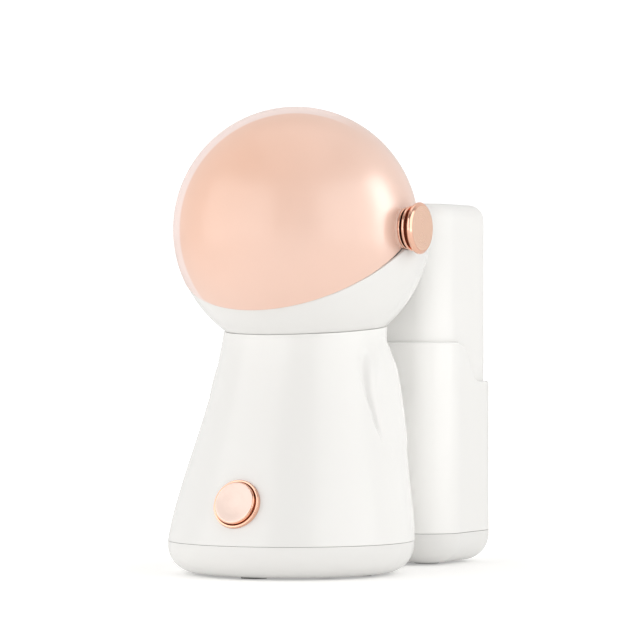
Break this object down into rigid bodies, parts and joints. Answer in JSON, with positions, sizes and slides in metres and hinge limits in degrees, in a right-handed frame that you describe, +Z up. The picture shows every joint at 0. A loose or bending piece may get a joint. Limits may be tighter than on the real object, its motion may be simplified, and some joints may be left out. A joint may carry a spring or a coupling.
{
  "type": "facial steamer",
  "caption": "Desk-top facial steamer with a conical body, a round helmet-like head under a flip-up visor, and a tall lift-out water tank in a holder behind it.",
  "frame": {"origin": "centre of the overall footprint on the table surface", "axes": "+Z up, -Y towards the user (front, with the button and the visor), +X to the right of the front view"},
  "size_m": [0.1347, 0.2048, 0.2336],
  "materials": {
    "white_plastic": "satin gloss white moulded plastic",
    "tank_plastic": "satin white moulded tank",
    "inner_white": "satin white",
    "grey_plastic": "fine matte",
    "dark_plastic": "fine matte",
    "grey_rubber": "matte",
    "silicone": "soft satin",
    "steel": "brushed",
    "aluminium_cast": "cast",
    "rose_gold": "polished rose gold plating",
    "peach_visor": "translucent satin gloss peach",
    "circuit_board": "solder mask",
    "wire_insulation": "satin"
  },
  "bodies": {
    "frame": {"base_cover": "white_plastic", "rubber_feet": "grey_rubber", "base_screws": "steel", "body_shell": "white_plastic", "rear_housing": "white_plastic", "tank_seat": "grey_plastic", "seat_seal": "silicone", "feed_funnel": "grey_plastic", "water_pump": "dark_plastic", "pump_cradle": "grey_plastic", "feed_tube": "silicone", "boiler_pot": "steel", "heater_plate": "aluminium_cast", "thermostat": "dark_plastic", "boiler_gasket": "silicone", "boiler_lid": "dark_plastic", "boiler_screws": "steel", "boiler_stand": "steel", "boiler_spacers": "dark_plastic", "steam_pipe": "silicone", "neck_collar": "grey_plastic", "head_bowl": "white_plastic", "inner_head": "inner_white", "steam_nozzle": "grey_plastic", "nozzle_ring": "inner_white", "ion_needles": "steel", "pivot_yoke": "steel", "pivot_pins": "steel", "button_ring": "rose_gold", "tact_switch": "dark_plastic", "switch_board": "circuit_board", "board_clips": "grey_plastic", "control_board": "circuit_board", "ion_generator": "dark_plastic", "power_inlet": "dark_plastic", "wiring_harness": "wire_insulation"},
    "visor_body": {"visor": "peach_visor", "knob_flange": "rose_gold", "knob_cap": "rose_gold", "pivot_cover": "rose_gold"},
    "button_body": {"power_button": "rose_gold"},
    "tank_body": {"water_tank": "tank_plastic"},
    "cap_body": {"tank_cap": "grey_plastic", "cap_gasket": "silicone", "valve_spring": "steel"},
    "plunger_body": {"valve_plunger": "grey_plastic", "valve_seal": "silicone"}
  },
  "joints": [
    {"name": "visor_flip", "type": "hinge", "parent": "frame", "child": "visor_body", "pos_m": [-0.00354, -0.03555, 0.172], "axis": [-1, 0, 0], "range_deg": [0, 60]},
    {"name": "button_press", "type": "slide", "parent": "frame", "child": "button_body", "axis": [0, 0.9426, -0.3338], "range_m": [0, 0.0012], "stiffness_N_per_m": 300, "springref_m": -0.001},
    {"name": "tank_lift", "type": "slide", "parent": "frame", "child": "tank_body", "axis": [0, 0, 1], "range_m": [0, 0.07]},
    {"name": "cap_turn", "type": "hinge", "parent": "tank_body", "child": "cap_body", "pos_m": [-0.00354, 0.06825, 0.072], "axis": [0, 0, 1], "range_deg": [0, 90]},
    {"name": "valve_lift", "type": "slide", "parent": "cap_body", "child": "plunger_body", "axis": [0, 0, 1], "range_m": [0, 0.003], "deforming": ["valve_spring"]}
  ]
}
